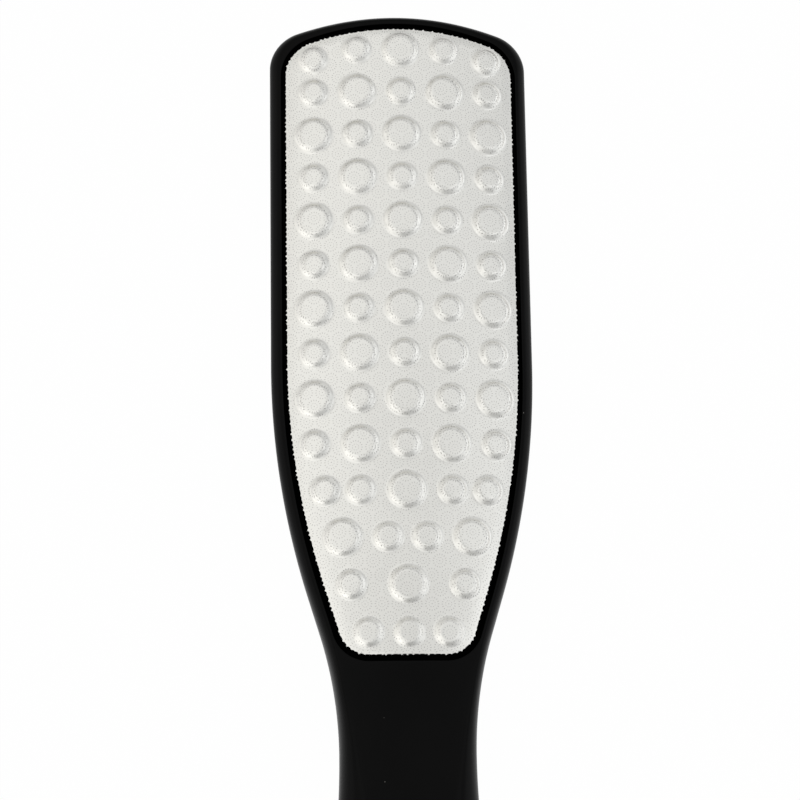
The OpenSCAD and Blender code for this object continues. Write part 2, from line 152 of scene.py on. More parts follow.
shoulder_curve = arc(shoulder_c, SHOULDER_R, -lean, -shoulder_angle, 0)
neck_curve = arc((NECK_W / 2 + NECK_R, neck_y), -NECK_R, -shoulder_angle, 0, 0)
side_run = np.vstack([
    shoulder_curve, straight(shoulder_curve[-1, :2], neck_curve[0, :2], -shoulder_angle), neck_curve,
    arc((NECK_W / 2 + FLARE_R, neck_y), -FLARE_R, 0, flare_angle),
    arc((GRIP_W / 2 - FLARE_R, grip_y), FLARE_R, flare_angle, 0)])
tool_run = np.vstack([
    tip_run(tool_side, tip_y, TIP_ARCH_R, TIP_CORNER_R), side_run,
    arc((GRIP_W / 2 - grip_side_r, grip_y), grip_side_r, 0, -butt_angle),
    arc((0, butt_y), BUTT_R, -butt_angle, -QUARTER)])


def share_between(v, start, end):
    """How far a value has come from start to end, as a share from 0 to 1."""
    return np.clip((v - start) / (end - start), 0, 1)


def set_in(run, more):
    """Points inside the outline by the width of the rim there and some more."""
    rim = RIM_W + (FOOT_RIM_W - RIM_W) * share_between(run[:, 1], taper_y, pocket_foot_y)
    return run[:, :2] - (rim + more)[:, None] * run[:, 2:]


# The pocket keeps a rim's width inside the outline, and a corner circle that touches its
# side and its foot has its centre on the track set in by the corner's radius as well
foot_track = set_in(side_run, POCKET_FOOT_R)[::-1]
foot_c = (np.interp(foot_c_y, foot_track[:, 1], foot_track[:, 0]), foot_c_y)
foot_angle = np.interp(foot_c_y, foot_track[:, 1], np.arctan2(side_run[:, 3], side_run[:, 2])[::-1])
foot_side_y = foot_c_y + POCKET_FOOT_R * math.sin(foot_angle)
pocket_side = np.hstack([set_in(side_run, 0), side_run[:, 2:]])
pocket_run = np.vstack([
    tip_run(tool_side - RIM_W, pocket_tip_y, POCKET_ARCH_R, POCKET_CORNER_R),
    pocket_side[pocket_side[:, 1] > foot_side_y + RUN_STEP],
    arc(foot_c, POCKET_FOOT_R, foot_angle, -QUARTER, 0),
    straight((foot_c[0], pocket_foot_y), (0, pocket_foot_y), -QUARTER),
    [[0, pocket_foot_y, 0, -1]]])


def ease(t):
    """Smooth step from 0 to 1 with level ends, half a cosine wave."""
    return (1 - np.cos(math.pi * np.clip(t, 0, 1))) / 2


def crown_height(x, radius):
    """Height of a round about the crown's axis, over the parting plane."""
    return axis_z + np.sqrt(radius ** 2 - x ** 2)


def half_thickness(x, y):
    """Height of a shell over the parting plane. In the middle it is level on the head, eased
    up to the full grip and down to the thinner butt. Beside the middle it falls with the
    crown, which fades out towards the grip."""
    blend = ease((y - rise_y) / (grip_y - rise_y))
    rise = crest_z + (parting_z - crest_z) * blend
    fall = parting_z + (BUTT_T / 2 - parting_z) * ease((y - grip_y) / (butt_y - grip_y))
    return np.where(y > grip_y, rise, fall) - (crest_z - crown_height(x, crown_r)) * (1 - blend)


def flank_breadth(run):
    """Breadth of the rounded flank: narrow on the head, and a share of the way to the
    centre line on the grip, or of the butt's radius on its arc."""
    reach = np.where(run[:, 3] < -math.sin(butt_angle) + ROUND_OFF, BUTT_R,
                     np.abs(run[:, 0]) / np.maximum(np.abs(run[:, 2]), ROUND_OFF))
    blend = ease((run[:, 1] - rise_y) / (grip_y - rise_y))
    return np.where(run[:, 1] > rise_y, HEAD_ROUND, HEAD_ROUND + (DOME_SHARE * reach - HEAD_ROUND) * blend)


def along(run):
    """Length along a run up to each of its points."""
    return np.concatenate([[0], np.cumsum(np.linalg.norm(np.diff(run[:, :2], axis=0), axis=1))])


def inward_reach(run, wall):
    """Depth at which the inward normal of each outline point meets an inner curve, and the
    length along that curve up to there. Ray and segment are crossed as two lines."""
    p, n = run[:, None, :2], run[:, None, 2:]
    e = (wall[1:, :2] - wall[:-1, :2])[None]
    w = wall[None, :-1, :2] - p
    cross = n[..., 0] * e[..., 1] - n[..., 1] * e[..., 0]
    cross = np.where(np.abs(cross) < PARALLEL, PARALLEL, cross)
    depth = -(w[..., 0] * e[..., 1] - w[..., 1] * e[..., 0]) / cross
    t = (w[..., 0] * n[..., 1] - w[..., 1] * n[..., 0]) / cross
    met = (t > -END_SLACK) & (t < 1 + END_SLACK) & (depth > 0)
    depth = np.where(met, depth, np.inf)
    hit = depth.argmin(1)
    rows = np.arange(len(run))
    length = along(wall)
    return depth[rows, hit], length[hit] + np.clip(t[rows, hit], 0, 1) * np.diff(length)[hit]


# Inner boundary of a shell's top: lip of the pocket, centre line, land of the hole. The
# grid's lines are spread so that neither the outline nor this boundary has long steps.
lip_run = np.hstack([pocket_run[:, :2] + LIP_R * pocket_run[:, 2:], pocket_run[:, 2:]])
mouth_r = HOLE_R + LAND_W + LIP_R
mouth_run = arc((0, butt_y), mouth_r, QUARTER, -QUARTER, 0)
inner_run = np.vstack([lip_run, mouth_run])
depth_table, inner_table = inward_reach(tool_run, inner_run)
run_table = along(tool_run)
spread = run_table + inner_table
foot_mark = np.interp(along(inner_run)[len(lip_run) - 1], inner_table, spread)
hole_mark = np.interp(along(inner_run)[len(lip_run)], inner_table, spread)
marks = [0, foot_mark, hole_mark, spread[-1]]
counts = [math.ceil((b - a) / GRID_STEP) for a, b in zip(marks[:-1], marks[1:])]
stretches = [np.linspace(a, b, n, endpoint=False) for a, b, n in zip(marks[:-1], marks[1:], counts)]
places = np.concatenate(stretches + [marks[-1:]])
foot_i, hole_i, last_i = np.cumsum(counts)
edge = np.stack([np.interp(places, spread, tool_run[:, k]) for k in range(4)], 1)
edge[:, 2:] /= np.linalg.norm(edge[:, 2:], axis=1)[:, None]
depth_end = np.interp(places, spread, depth_table)


def shell_point(depth):
    """Point of the shell at a depth inside the outline: its height is the half thickness
    there times a quarter ellipse that comes level where the flank's breadth ends."""
    x, y = edge[:, 0] - depth * edge[:, 2], edge[:, 1] - depth * edge[:, 3]
    q = np.clip(depth / flank_breadth(edge), 0, 1)
    return np.stack([x, y, half_thickness(x, y) * np.sqrt(q * (2 - q))], 1)


def shell_rings():
    """Rings of one shell from the seam over the flank and the level top to the inner
    boundary, where flank steps are equal turns of the ellipse."""
    breadth = flank_breadth(edge)
    first = np.arcsin(SEAM_R / half_thickness(edge[:, 0], edge[:, 1]))
    last = np.arccos(1 - np.clip(depth_end / breadth, 0, 1))
    rings = [shell_point(breadth * (1 - np.cos(first + (last - first) * j / FLANK_STEPS)))
             for j in range(FLANK_STEPS + 1)]
    level = np.minimum(breadth, depth_end)
    rings += [shell_point(level + (depth_end - level) * k / LEVEL_STEPS)
              for k in range(1, LEVEL_STEPS + 1)]
    rings[-1][foot_i:hole_i + 1, 0] = 0
    rings[-1][[0, last_i], 0] = 0
    return rings


def seam_ring():
    """Where the small rounding of the seam meets the flat underside."""
    return np.stack([edge[:, 0] - SEAM_R * edge[:, 2], edge[:, 1] - SEAM_R * edge[:, 3],
                     np.zeros(len(edge))], 1)


def underside_ring(end_ring):
    """Where the flat underside ends on the centre line or at the bore."""
    ring = np.zeros((len(edge), 3))
    ring[foot_i:, 1] = end_ring[foot_i:, 1]
    top, low = tip_y - POCKET_FOOT_R, end_ring[foot_i, 1]
    share = (edge[:foot_i, 1] - edge[foot_i, 1]) / (tip_y - edge[foot_i, 1])
    ring[:foot_i, 1] = low + (top - low) * share
    ring[hole_i:] = bore_point(end_ring, HOLE_R, 0)
    return ring


def bore_point(end_ring, radius, z):
    """Points at a radius round the hanging hole, each at the angle of its grid line."""
    a = np.arctan2(end_ring[hole_i:, 1] - butt_y, end_ring[hole_i:, 0])
    a[0], a[-1] = QUARTER, -QUARTER
    x = radius * np.cos(a)
    x[[0, -1]] = 0
    return np.stack([x, butt_y + radius * np.sin(a), np.full(len(a), z)], 1)


def grid_faces(rows, columns, start=0):
    """Quads of a grid whose points are numbered row by row. Rows run inwards and columns
    run from the tip to the butt, which turns the faces outwards."""
    i = start + np.arange(rows - 1)[:, None] * columns + np.arange(columns - 1)[None]
    return np.stack([i, i + columns, i + columns + 1, i + 1], -1).reshape(-1, 4)


MERGE_DIGITS = 4


def joined(points, faces):
    """Merge points that coincide, turn quads with one doubled corner into triangles, and
    leave out those that have closed up."""
    _, first, inverse = np.unique(np.round(points, MERGE_DIGITS) + 0.0, axis=0,
                                  return_index=True, return_inverse=True)
    faces = inverse.reshape(-1)[faces]
    doubled = faces == np.roll(faces, -1, 1)
    across = (faces[:, 0] == faces[:, 2]) | (faces[:, 1] == faces[:, 3])
    quads = faces[(doubled.sum(1) == 0) & ~across]
    three = faces[(doubled.sum(1) == 1) & ~across]
    keep = ~doubled[(doubled.sum(1) == 1) & ~across]
    return points[first], quads, three[keep].reshape(-1, 3)


MM = 0.001
SHARP_ANGLE = 38.0  # degrees between two faces, over which their edge isn't smoothed


def make_piece(name, points, quads, triangles, *materials):
    """Mesh object from points in millimetres over the parting plane. Where the points have a
    fourth column, faces whose corners all have a one there take the second material."""
    mesh = bpy.data.meshes.new(name)
    corners = np.concatenate([quads.ravel(), triangles.ravel()]).astype(np.int32)
    sizes = np.concatenate([np.full(len(quads), 4), np.full(len(triangles), 3)])
    starts = np.concatenate([[0], np.cumsum(sizes)[:-1]]).astype(np.int32)
    mesh.vertices.add(len(points))
    metres = (points[:, :3] + [0, 0, parting_z]) * MM
    mesh.vertices.foreach_set("co", metres.astype(np.float32).ravel())
    mesh.loops.add(len(corners))
    mesh.loops.foreach_set("vertex_index", corners)
    mesh.polygons.add(len(sizes))
    mesh.polygons.foreach_set("loop_start", starts)
    mesh.polygons.foreach_set("use_smooth", np.ones(len(sizes), bool))
    if points.shape[1] > 3:
        inner = np.concatenate([points[quads, 3].all(1), points[triangles, 3].all(1)])
        mesh.polygons.foreach_set("material_index", inner.astype(np.int32))
    mesh.update(calc_edges=True)
    mesh.validate()
    mesh.set_sharp_from_angle(angle=math.radians(SHARP_ANGLE))
    for material in materials:
        mesh.materials.append(material)
    piece = bpy.data.objects.new(name, mesh)
    bpy.context.scene.collection.objects.link(piece)
    return piece


def turned_over(points, quads, triangles):
    """The same surface on the other side of the parting plane."""
    return points * [1, 1, -1, 1][:points.shape[1]], quads[:, ::-1], triangles[:, ::-1]


def set_inputs(tree, node, inputs):
    """Give a node its inputs: a socket is linked, and any other value is set."""
    for key, value in inputs.items():
        if isinstance(value, bpy.types.NodeSocket):
            tree.links.new(value, node.inputs[key])
        else:
            node.inputs[key].default_value = value


def node_maker(owner):
    """Shorthand for adding nodes to a material or a world: a type, its inputs, its settings."""
    tree = owner.node_tree

    def add(kind, inputs=None, **settings):
        node = tree.nodes.new(kind)
        for key, value in settings.items():
            setattr(node, key, value)
        set_inputs(tree, node, inputs or {})
        return node
    return add


def new_material(name, finish, *settings):
    """Material of one shader, whose inputs a finish works out with the shorthand."""
    material = bpy.data.materials.new(name)
    material.use_nodes = True
    shader = material.node_tree.nodes["Principled BSDF"]
    set_inputs(material.node_tree, shader, finish(node_maker(material), *settings))
    return material


def ramp(add, source, low, high, start=0.0, end=1.0):
    """Straight ramp from start to end as the source goes from low to high."""
    return add("ShaderNodeMapRange", {"Value": source, "From Min": low, "From Max": high,
                                      "To Min": start, "To Max": end}).outputs[0]


def mixed(add, factor, first, second):
    """Colour that goes from the first to the second as the factor goes from 0 to 1."""
    return add("ShaderNodeMix", {"Factor": factor, 6: first, 7: second}, data_type="RGBA").outputs[2]


def noise(add, scale, detail, roughness=0.5):
    """Noise about one half on the piece's own coordinates, with its scale in waves a metre."""
    place = add("ShaderNodeTexCoord").outputs["Object"]
    return add("ShaderNodeTexNoise", {"Vector": place, "Scale": scale, "Detail": detail,
                                      "Roughness": roughness}).outputs[0]


def cells(add, scale):
    """Cells on the piece's own coordinates: the distance to the middle of the nearest, and
    its colour."""
    place = add("ShaderNodeTexCoord").outputs["Object"]
    found = add("ShaderNodeTexVoronoi", {"Vector": place, "Scale": scale, "Randomness": 1.0})
    return found.outputs["Distance"], found.outputs["Color"]


def relief(add, height, strength, deep):
    """Normal of a surface with a fine relief, as deep in metres as given."""
    return add("ShaderNodeBump", {"Height": height, "Strength": strength, "Distance": deep}).outputs[0]


def worked_out(add, operation, first, second):
    """One number from two, such as their product or the larger of them."""
    return add("ShaderNodeMath", {0: first, 1: second}, operation=operation).outputs[0]


MOULD_BLACK, HANDLED_BLACK = (0.0003, 0.0003, 0.0003, 1), (0.0009, 0.0008, 0.0008, 1)
POCKET_BLACK, DUST = (0.0012, 0.0012, 0.0012, 1), (0.16, 0.15, 0.14, 1)
SPECK_R, SPECK_CORE_R = 0.05, 0.03  # in cells
SPECK_FROM, SPECK_FULL = 0.93, 0.935  # levels of a cell's colour over which it holds a speck
TONE_SPAN, GLOSS_SPAN = (0.35, 0.65), (0.3, 0.7)  # levels of the noise that the change takes
BLACK_ROUGHNESS, BLACK_SHINE = (0.26, 0.34), 0.07


def moulded(add):
    """Black ABS with a fine spark-eroded grain, a slow change in gloss from handling, and
    sparse specks of pale dust."""
    grain = noise(add, scale=5200.0, detail=3.0, roughness=0.6)
    cloud = noise(add, scale=55.0, detail=4.0, roughness=0.55)
    distance, colour = cells(add, scale=420.0)
    chance = add("ShaderNodeSeparateColor", {"Color": colour}).outputs[0]
    dust = worked_out(add, "MULTIPLY", ramp(add, distance, SPECK_R, SPECK_CORE_R),
                      ramp(add, chance, SPECK_FROM, SPECK_FULL))
    tone = mixed(add, ramp(add, cloud, *TONE_SPAN), MOULD_BLACK, HANDLED_BLACK)
    return {"Base Color": mixed(add, dust, tone, DUST), "Specular IOR Level": BLACK_SHINE,
            "Roughness": ramp(add, cloud, *GLOSS_SPAN, *BLACK_ROUGHNESS),
            "Normal": relief(add, grain, strength=0.25, deep=0.00003)}


def pocket(add):
    """The same plastic inside the pocket as a shaded copy: matt, with no shine at all, so that its wall
    and floor show painted shade.
    """
    grain = noise(add, scale=3000.0, detail=3.0)
    return {"Base Color": mixed(add, grain, MOULD_BLACK, POCKET_BLACK),
            "Roughness": 1.0, "Specular IOR Level": 0.0}


def pocket_grid(end):
    """Grid of half a pocket: the rounded lip, the wall, and the floor, whose rows go from the
    foot of the wall to the middle and follow the crown at the pocket's depth."""
    column, length = places[:foot_i + 1], along(inner_run)
    normal = np.stack([np.interp(column, spread, np.interp(inner_table, length, inner_run[:, k]))
                       for k in (2, 3)], 1)
    normal /= np.linalg.norm(normal, axis=1)[:, None]
    normal[[0, foot_i]] = [[0, 1], [0, -1]]
    level_normal = np.hstack([normal, np.zeros((foot_i + 1, 1))])
    lip = [end[:foot_i + 1] - level_normal * LIP_R * math.sin(a) - [0, 0, LIP_R * (1 - math.cos(a))]
           for a in np.linspace(0, QUARTER, LIP_STEPS + 1)]
    foot, middle = lip[-1][:, :2], lip[-1][:, :2] * [0, 1]
    low, high = pocket_foot_y, pocket_tip_y
    inset = POCKET_FOOT_R * SPINE_IN
    middle[:, 1] = low + inset + (high - low - 2 * inset) * (foot[:, 1] - low) / (high - low)
    floor = [foot + (middle - foot) * share for share in [0] + FLOOR_SHARES]
    return np.stack(lip + [np.column_stack([row, crown_height(row[:, 0], crown_r - POCKET_DEPTH)])
                           for row in floor])


def hole_grid(end):
    """Grid of half a hanging hole: the rounded lip, the sunk land, the rounded edge of the
    bore, and the bore down to the parting plane."""
    rim_z = end[hole_i:, 2]
    turns = np.linspace(0, QUARTER, LIP_STEPS + 1)
    inwards, downs = LIP_R * np.sin(turns), LIP_R * (1 - np.cos(turns))
    rows = [bore_point(end, mouth_r - i, rim_z - d) for i, d in zip(inwards, downs)]
    rows += [bore_point(end, HOLE_R + LAND_W, land_z)]
    rows += [bore_point(end, HOLE_R + LIP_R - i, land_z - d) for i, d in zip(inwards, downs)]
    return np.stack(rows + [bore_point(end, HOLE_R, 0)])


def shell_surface():
    """Right half of one shell as three joined grids, then its mirror image. The points of
    the pocket's wall and floor are marked with a one for the second material."""
    rings = shell_rings()
    end = rings[-1]
    skin = np.stack([underside_ring(end), seam_ring()] + rings)
    hole = hole_grid(end)
    points, faces, start = [], [], 0
    for grid, first_marked in ((skin, len(skin)), (pocket_grid(end), LIP_STEPS), (hole, len(hole))):
        mark = np.repeat(np.arange(len(grid)) >= first_marked, grid.shape[1])
        points.append(np.column_stack([grid.reshape(-1, 3), mark]))
        faces.append(grid_faces(*grid.shape[:2], start))
        start += len(points[-1])
    points, faces = np.vstack(points), np.vstack(faces)
    both = np.vstack([points, points * [-1, 1, 1, 1]])
    return joined(both, np.vstack([faces, faces[:, ::-1] + len(points)]))


# The pocket's wall and floor take a shaded copy of the black plastic, which paints the recess as shade.
shell_black, pocket_shaded_copy = new_material("moulded_black", moulded), new_material("pocket_painted_shade", pocket)
shell = shell_surface()
front_shell = make_piece("front_shell_moulding", *shell, shell_black, pocket_shaded_copy)
rear_shell = make_piece("rear_shell_moulding", *turned_over(*shell), shell_black, pocket_shaded_copy)
for piece, node in ((front_shell, "front_shell"), (rear_shell, "rear_shell")):
    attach(piece, "root")
    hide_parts(node)


# Adhesive pads. Closed-cell foam tape, black, die-cut a little smaller than the sheets and
# pressed into the pockets. The imported solids have the right shape and stay.
# The first colour is painted shade at the bottom of the foam's cell pits; the second is the foam's own
# black.
FOAM_PIT_SHADE, FOAM_SKIN = (0.0005, 0.0005, 0.0005, 1), (0.003, 0.003, 0.003, 1)


def foamed(add):
    """Matt foam with fine open cells at its cut edge. The middle of each cell is painted darker, as shade
    in its pit.
    """
    distance, _ = cells(add, scale=5000.0)
    return {"Base Color": mixed(add, distance, FOAM_PIT_SHADE, FOAM_SKIN), "Roughness": 0.95,
            "Specular IOR Level": 0.03, "Normal": relief(add, distance, strength=0.6, deep=0.00008)}


foam = new_material("black_foam", foamed)
for node in ("coarse_adhesive_pad", "fine_adhesive_pad"):
    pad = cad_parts[node]
    for slot in pad.material_slots:
        slot.material = foam


# Coarse sheet. Nickel 0.3 mm thick, etched with rosettes while flat, then pressed with 65
# flat-topped bumps and bent to the crown. Its cut edge is finely toothed, and it is glued
# to its pad. It is laid out flat here, with x as the length round the crown.
SHEET_T = 0.3
SHEET_PROUD = 0.1  # by which the flat of a sheet stands proud of the rim
SIDE_GAP, TIP_GAP, FOOT_GAP = 0.95, 1.25, 1.25  # from the sheet to the pocket's wall
LARGE_BUMP_R, LARGE_FLAT_R = 4.0, 2.6  # at the base, and of the flat top
SMALL_BUMP_R, SMALL_FLAT_R = 3.2, 1.7
BUMP_H = 0.85
COLUMN_PITCH, ROW_PITCH = 8.9, 9.18
FIRST_ROW, LAST_ROW = 4.5, 3.2  # from the tip, and at least from the foot
CORNER_DROP = 1.9  # of the first row's outermost bumps, which follow the arch
BUMP_EDGE = 4.95  # from a row's outermost bumps to the edge of the sheet
BUMP_SHIFT = 0.2  # of the whole embossing off the centre line
FULL_ROW = [-2, -1, 0, 1, 2]
LEAST_REACH = [1.8, 1.6, 1.35, 1.05, 0.7]  # in column pitches, each of which makes a row narrower
NARROW_ROWS = [[-1.03, -0.58, 0, 0.58, 1.03], [-0.93, -0.28, 0.28, 0.93], [-1, 0, 1],
               [-0.96, 0, 0.96], [0]]
NARROW_LARGE = [[2], [0, 3], [1], [], []]
SHEET_STEP, SHEET_LINES = 0.3, 58
SPINE_TIP, SPINE_FOOT = 20.0, 10.0  # by which the spine ends short of the sheet
ROLL_W, ROLL_H = 2.4, 0.13  # margin that cutting has rolled down, and its fall
EDGE_PITCH, EDGE_H, EDGE_W = 1.02, 0.34, 0.66  # teeth of the cut edge
EDGE_BACK = 0.05  # share of its height that a tooth's root stands inside the edge
EDGE_SHIFT, EDGE_LEAST = 0.35, 0.25  # most shift along the edge and least height, as shares
ROOT_SUNK, POINT_SUNK, ROOT_SHARE = 0.02, 0.03, 0.9  # under the face, and of the thickness

sheet_r = crown_r + SHEET_PROUD
sheet_tip_y = pocket_tip_y - TIP_GAP
sheet_foot_y = pocket_foot_y + FOOT_GAP
pocket_corner_y = corner_centre(tool_side - RIM_W, pocket_tip_y, POCKET_ARCH_R, POCKET_CORNER_R)[1]
gap = (SIDE_GAP + (TIP_GAP - SIDE_GAP) * share_between(pocket_run[:, 1], pocket_corner_y, pocket_tip_y)
       + (FOOT_GAP - SIDE_GAP) * share_between(pocket_run[:, 1], taper_y, foot_c_y))
sheet_run = np.hstack([pocket_run[:, :2] - gap[:, None] * pocket_run[:, 2:], pocket_run[:, 2:]])


def half_width(y):
    """Half the width of a sheet at a place along the tool, seen from above."""
    down = sheet_run[::-1]
    return np.interp(y, down[:, 1], down[:, 0], left=0, right=0)


def flat_half_width(y):
    """The same before the sheet is bent."""
    return sheet_r * np.arcsin(half_width(y) / sheet_r)


def rolled(x, y):
    """Fall of the surface in the margin that cutting has rolled down: it grows as the square
    of the way from the margin's inner end to the edge. The distance to the edge is the way
    across to it times the share of the edge's normal that points across."""
    down = sheet_run[::-1]
    across = np.interp(y, down[:, 1], down[:, 2])
    depth = (flat_half_width(y) - np.abs(x)) * across
    return ROLL_H * (1 - np.clip(depth / ROLL_W, 0, 1)) ** 2


def bent(x, y, height):
    """Points of a flat sheet after it is bent to the crown: x becomes an angle about the
    crown's axis, and the height stands square to the crown."""
    return np.stack(np.broadcast_arrays((sheet_r + height) * np.sin(x / sheet_r), y,
                                        axis_z + (sheet_r + height) * np.cos(x / sheet_r)), -1)


def bump_rows():
    """Centres of the bumps and whether each is large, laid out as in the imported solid: full
    rows on the column pitch, large and small by turns, and narrower ones spread over the
    reach of the sheet. Of the first row only the middle bump is large."""
    found = []
    count = 1 + math.floor((sheet_tip_y - FIRST_ROW - LAST_ROW - sheet_foot_y) / ROW_PITCH)
    for row in range(count):
        y = sheet_tip_y - FIRST_ROW - row * ROW_PITCH
        drop = CORNER_DROP if row == 0 else 0
        reach = half_width(y - drop) - BUMP_EDGE
        narrow = sum(reach < share * COLUMN_PITCH for share in LEAST_REACH)
        shares, pitch = (NARROW_ROWS[narrow - 1], reach) if narrow else (FULL_ROW, COLUMN_PITCH)
        for i, share in enumerate(shares):
            if narrow:
                large = i in NARROW_LARGE[narrow - 1]
            else:
                large = share == 0 if row == 0 else (row + i) % 2 == 0
            outermost = abs(share * pitch) > COLUMN_PITCH
            found.append((BUMP_SHIFT + share * pitch, y - (drop if outermost else 0), large))
    return np.array(found, float)


bump_table = bump_rows()


def bump_height(x, y):
    """Height of the pressed bumps, with flat tops and flanks that fall as half a cosine
    wave, less the fall of the rolled margin."""
    height = np.zeros(np.shape(x))
    for bx, by, large in bump_table:
        flat_r, base_r = (LARGE_FLAT_R, LARGE_BUMP_R) if large else (SMALL_FLAT_R, SMALL_BUMP_R)
        r = np.hypot(x - bx, y - by)
        height = np.maximum(height, BUMP_H * (1 - ease((r - flat_r) / (base_r - flat_r))))
    return height - rolled(x, y)


flat_run = sheet_run.copy()
flat_run[:, 0] = sheet_r * np.arcsin(sheet_run[:, 0] / sheet_r)
run_length = along(flat_run)


def sheet_edge(steps):
    """Whole edge of a flat sheet at even steps: from the tip down the right side to the
    foot, and back up the left. Gives rows of x, y and the normal."""
    at = np.linspace(0, run_length[-1], steps + 1)
    run = np.stack([np.interp(at, run_length, flat_run[:, k]) for k in range(4)], 1)
    return np.vstack([run, (run * [-1, 1, -1, 1])[-2:0:-1]])


def edge_teeth(height, seed):
    """Small closed teeth of the cut edge, each on a triangle in the edge's thickness, that
    stand out along the normal and differ in place and length."""
    rng = np.random.default_rng(seed)
    root = sheet_edge(round(run_length[-1] / EDGE_PITCH))
    out, side = root[:, 2:], root[:, 3:1:-1] * [1, -1]
    shift = rng.uniform(-EDGE_SHIFT, EDGE_SHIFT, len(root))[:, None] * EDGE_W
    reach = EDGE_H * rng.uniform(EDGE_LEAST, 1.0, len(root))[:, None]
    place = root[:, :2] - EDGE_BACK * EDGE_H * out + side * shift
    face = height(root[:, 0], root[:, 1])
    corners = [bent(p[:, 0], p[:, 1], z) for p, z in (
        (place + side * EDGE_W / 2, face - ROOT_SUNK), (place - side * EDGE_W / 2, face - ROOT_SUNK),
        (place, -SHEET_T * ROOT_SHARE), (place + out * reach, face - POINT_SUNK))]
    sides = np.array([[0, 3, 1], [0, 2, 3], [1, 3, 2], [0, 1, 2]])
    start = 4 * np.arange(len(root))[:, None, None]
    return np.stack(corners, 1).reshape(-1, 3), (start + sides[None]).reshape(-1, 3)


def sheet_surface(height, lines, seed):
    """Sheet as lines that run from its edge to a spine on the centre line, at even steps
    along the edge: sideways from the sides, and fanned at the tip and the foot. The top
    takes the height given, the underside is plain, and the edge has its teeth."""
    loop = sheet_edge(math.ceil(run_length[-1] / SHEET_STEP))[:, :2]
    spine = np.stack([np.zeros(len(loop)),
                      np.clip(loop[:, 1], sheet_foot_y + SPINE_FOOT, sheet_tip_y - SPINE_TIP)], 1)
    t = np.linspace(0, 1, lines + 1)[:, None, None]
    xy = loop[None] * (1 - t) + spine[None] * t
    top = bent(xy[..., 0], xy[..., 1], height(xy[..., 0], xy[..., 1]))
    under = [bent(row[:, 0], row[:, 1], -SHEET_T) for row in (spine, (spine + loop) / 2, loop)]
    grid = np.concatenate([under, top])
    grid = np.concatenate([grid, grid[:, :1]], 1)
    points, quads, triangles = joined(grid.reshape(-1, 3), grid_faces(*grid.shape[:2]))
    teeth, wedges = edge_teeth(height, seed)
    return np.vstack([points, teeth]), quads, np.vstack([triangles, wedges + len(points)])


NICKEL_TINT, NICKEL_ROUGHNESS = (0.812, 0.799, 0.763), (0.29, 0.36)
DARK_SHARE = 0.965  # of the tint, left in the darkest patches


def satin(add, tint, roughness):
    """Electroformed nickel: pale and a little warm, satin all over with a fine grain, and
    uneven in tone and gloss in slow patches where it has been handled."""
    grain = noise(add, scale=3600.0, detail=4.0, roughness=0.65)
    patch = noise(add, scale=70.0, detail=5.0, roughness=0.6)
    dark = (*(DARK_SHARE * c for c in tint), 1)
    return {"Base Color": mixed(add, ramp(add, patch, *TONE_SPAN), dark, (*tint, 1)), "Metallic": 1.0,
            "Roughness": ramp(add, patch, *GLOSS_SPAN, *roughness),
            "Normal": relief(add, grain, strength=0.35, deep=0.00003)}


nickel = new_material("satin_nickel", satin, NICKEL_TINT, NICKEL_ROUGHNESS)
coarse_sheet = make_piece("coarse_sheet_pressing",
                          *sheet_surface(bump_height, SHEET_LINES, seed=3), nickel)
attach(coarse_sheet, "root")
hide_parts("coarse_sheet")


# Coarse rosettes. The cutting pattern of the coarse sheet: a dot, a broken ring of eight
# bars and sixteen short radial teeth, left raised by etching the nickel away round them.
# They are kept low and coloured darker than the sheet, which paints the shade of their
# relief, and are rougher. They stand on a hexagonal lattice and follow the bumps.
ROSETTE_PITCH, ROSETTE_TURN = 3.198, -0.222  # the turn in degrees
ROSETTE_X, ROSETTE_Y = -1.515, 63.02
TEETH, TOOTH_IN_R, TOOTH_OUT_R, TOOTH_HALF_W = 16, 1.04, 1.45, 0.06
RING_BARS, RING_R, RING_HALF_W = 8, 0.64, 0.044
RING_SHARE = 0.38  # part of the bars' pitch that a bar takes each way from its middle
DOT_R = 0.155
MARK_H, MARK_SUNK = 0.02, 0.01  # over the face of the sheet, and let into it
MARK_MARGIN = 0.1  # between the marks and the edge of the sheet
TURN_SPREAD = 0.06  # most turn of a rosette, in radians
LATTICE_COLUMNS, LATTICE_ROWS = 40, 60  # each way from the lattice's own origin
FOOT_STAY, TIP_STAY = 1.0, 3.0  # nearest the sheet's ends that its width is taken
OVERHANG = 1.0  # of the lattice past those ends
# The marks' tint is painted shade, darker than the sheet; their roughness is the etched finish.
MARK_SHADE_TINT, ETCHED_ROUGHNESS = (0.385, 0.375, 0.36), (0.5, 0.6)


def rosette_marks(teeth, tooth_in, tooth_out, tooth_w, bars, ring_r, ring_w, dot_r):
    """One rosette as small closed pyramids on four points each: the teeth, the bars of the
    ring and the dot. Gives rows of x, y and height share, the faces, and whose each is."""
    points, faces, owner = [], [], []

    def pyramid(base, mark):
        k, n = len(points), len(base)
        top = np.mean(base, 0)
        points.extend([(*b, 0.0) for b in base] + [(*top, 1.0)])
        faces.extend([(k, k + i + 2, k + i + 1) for i in range(n - 2)])
        faces.extend([(k + i, k + (i + 1) % n, k + n) for i in range(n)])
        owner.extend([mark] * (2 * n - 2))

    def place(r, a, across=0.0):
        return r * math.cos(a) - across * math.sin(a), r * math.sin(a) + across * math.cos(a)

    for k in range(teeth):
        a = 2 * math.pi * k / teeth
        pyramid([place(tooth_in, a, tooth_w), place(tooth_in, a, -tooth_w),
                 place(tooth_out, a, -tooth_w), place(tooth_out, a, tooth_w)], k)
    for k in range(bars):
        a, turn = 2 * math.pi * (k + 0.5) / bars, RING_SHARE * 2 * math.pi / bars
        pyramid([place(ring_r - ring_w, a - turn), place(ring_r + ring_w, a - turn),
                 place(ring_r + ring_w, a + turn), place(ring_r - ring_w, a + turn)], teeth + k)
    pyramid([place(dot_r, k * QUARTER) for k in range(4)], teeth + bars)
    return np.array(points), np.array(faces), np.array(owner)


